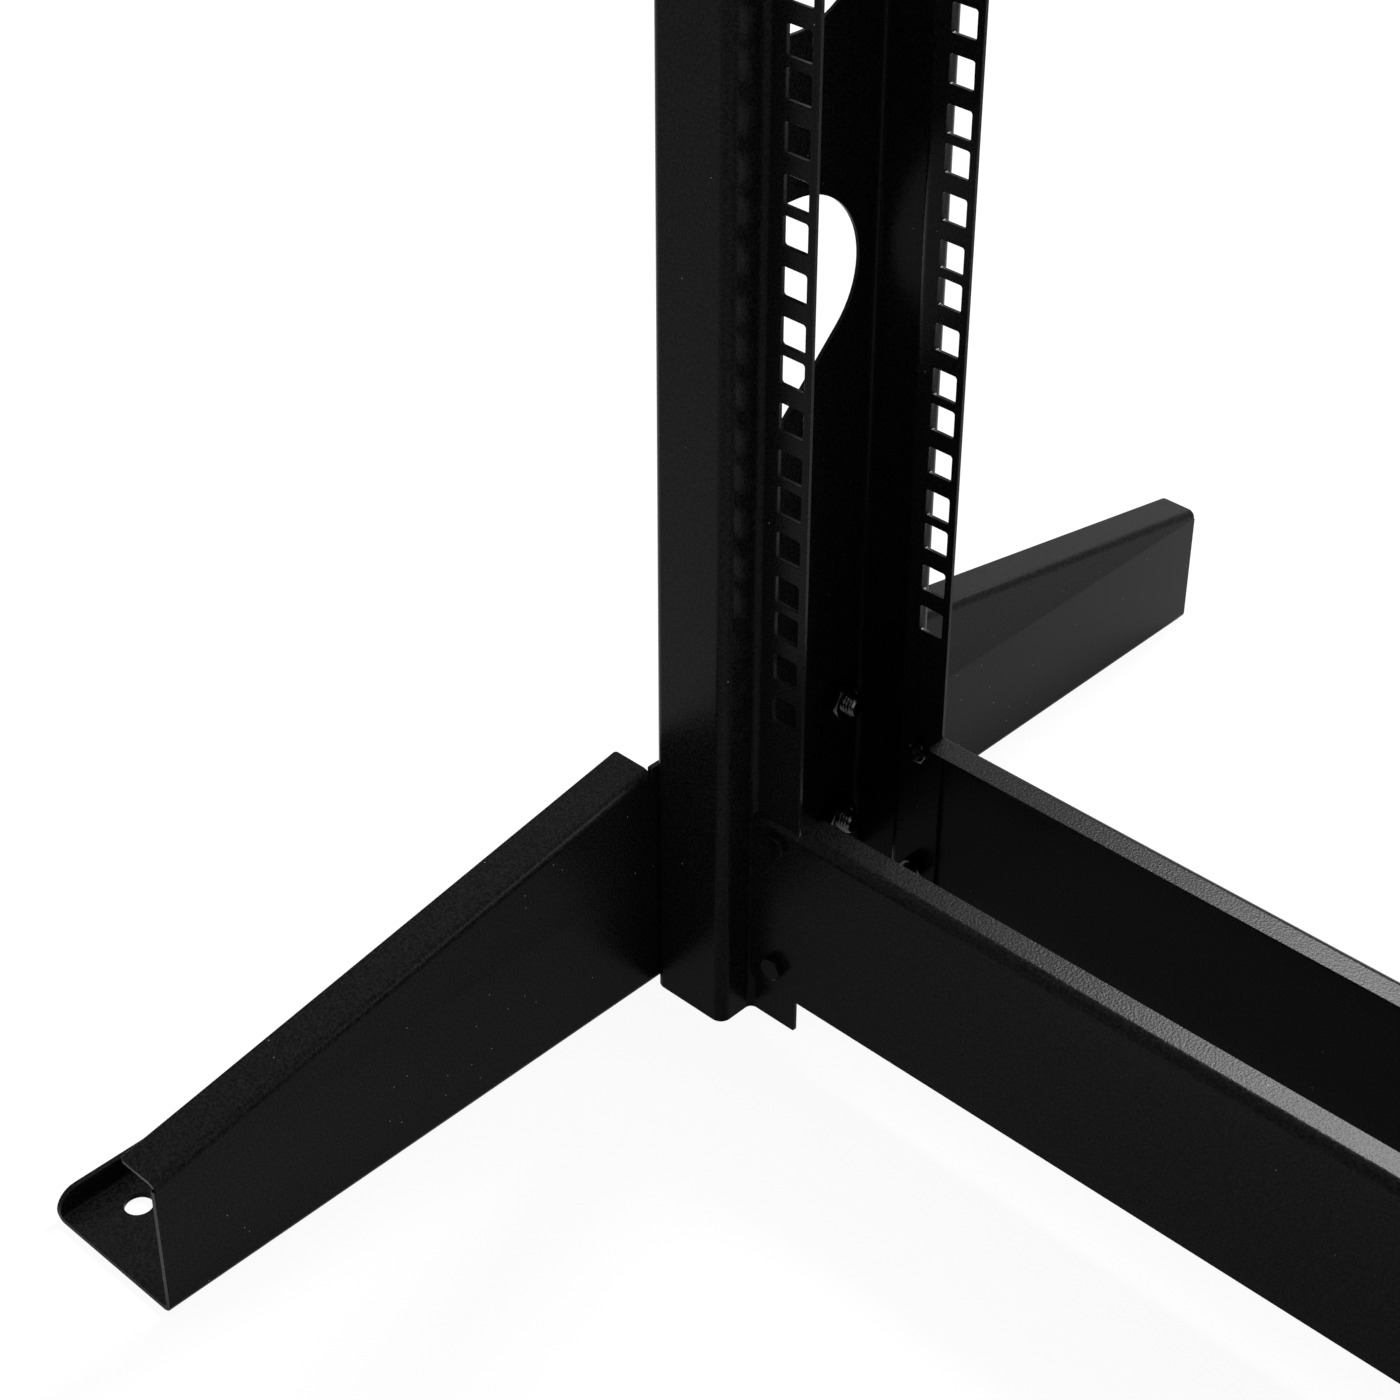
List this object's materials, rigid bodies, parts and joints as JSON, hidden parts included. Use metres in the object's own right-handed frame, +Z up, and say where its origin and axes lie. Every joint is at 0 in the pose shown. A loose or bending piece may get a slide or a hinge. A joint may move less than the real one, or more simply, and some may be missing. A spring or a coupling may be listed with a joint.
{
  "type": "two post open frame rack",
  "caption": "Open frame equipment rack: two folded posts with square holed flanges and cable openings, joined by four beams, on two long tapered feet.",
  "frame": {"origin": "on the floor, midway between the two posts and in the middle of the feet's length", "axes": "+Z up, front of the rack towards -Y, +X to the right seen from the front"},
  "size_m": [0.6638, 0.508, 1.3526],
  "materials": {
    "black_powder_coat": "fine textured black powder coat",
    "black_bolts": "black oxide",
    "dark_zinc": "dark zinc plated"
  },
  "bodies": {
    "root": {"left_post": "black_powder_coat", "right_post": "black_powder_coat", "front_bottom_beam": "black_powder_coat", "rear_bottom_beam": "black_powder_coat", "front_top_beam": "black_powder_coat", "rear_top_beam": "black_powder_coat", "left_foot": "black_powder_coat", "right_foot": "black_powder_coat", "front_bottom_left_bolts": "black_bolts", "front_bottom_left_nuts": "dark_zinc", "front_bottom_right_bolts": "black_bolts", "front_bottom_right_nuts": "dark_zinc", "front_top_left_bolts": "black_bolts", "front_top_left_nuts": "dark_zinc", "front_top_right_bolts": "black_bolts", "front_top_right_nuts": "dark_zinc", "rear_bottom_left_bolts": "black_bolts", "rear_bottom_left_nuts": "dark_zinc", "rear_bottom_right_bolts": "black_bolts", "rear_bottom_right_nuts": "dark_zinc", "rear_top_left_bolts": "black_bolts", "rear_top_left_nuts": "dark_zinc", "rear_top_right_bolts": "black_bolts", "rear_top_right_nuts": "dark_zinc", "left_foot_front_bolts": "dark_zinc", "left_foot_front_nuts": "dark_zinc", "left_foot_rear_bolts": "dark_zinc", "left_foot_rear_nuts": "dark_zinc", "right_foot_front_bolts": "dark_zinc", "right_foot_front_nuts": "dark_zinc", "right_foot_rear_bolts": "dark_zinc", "right_foot_rear_nuts": "dark_zinc"}
  },
  "joints": []
}
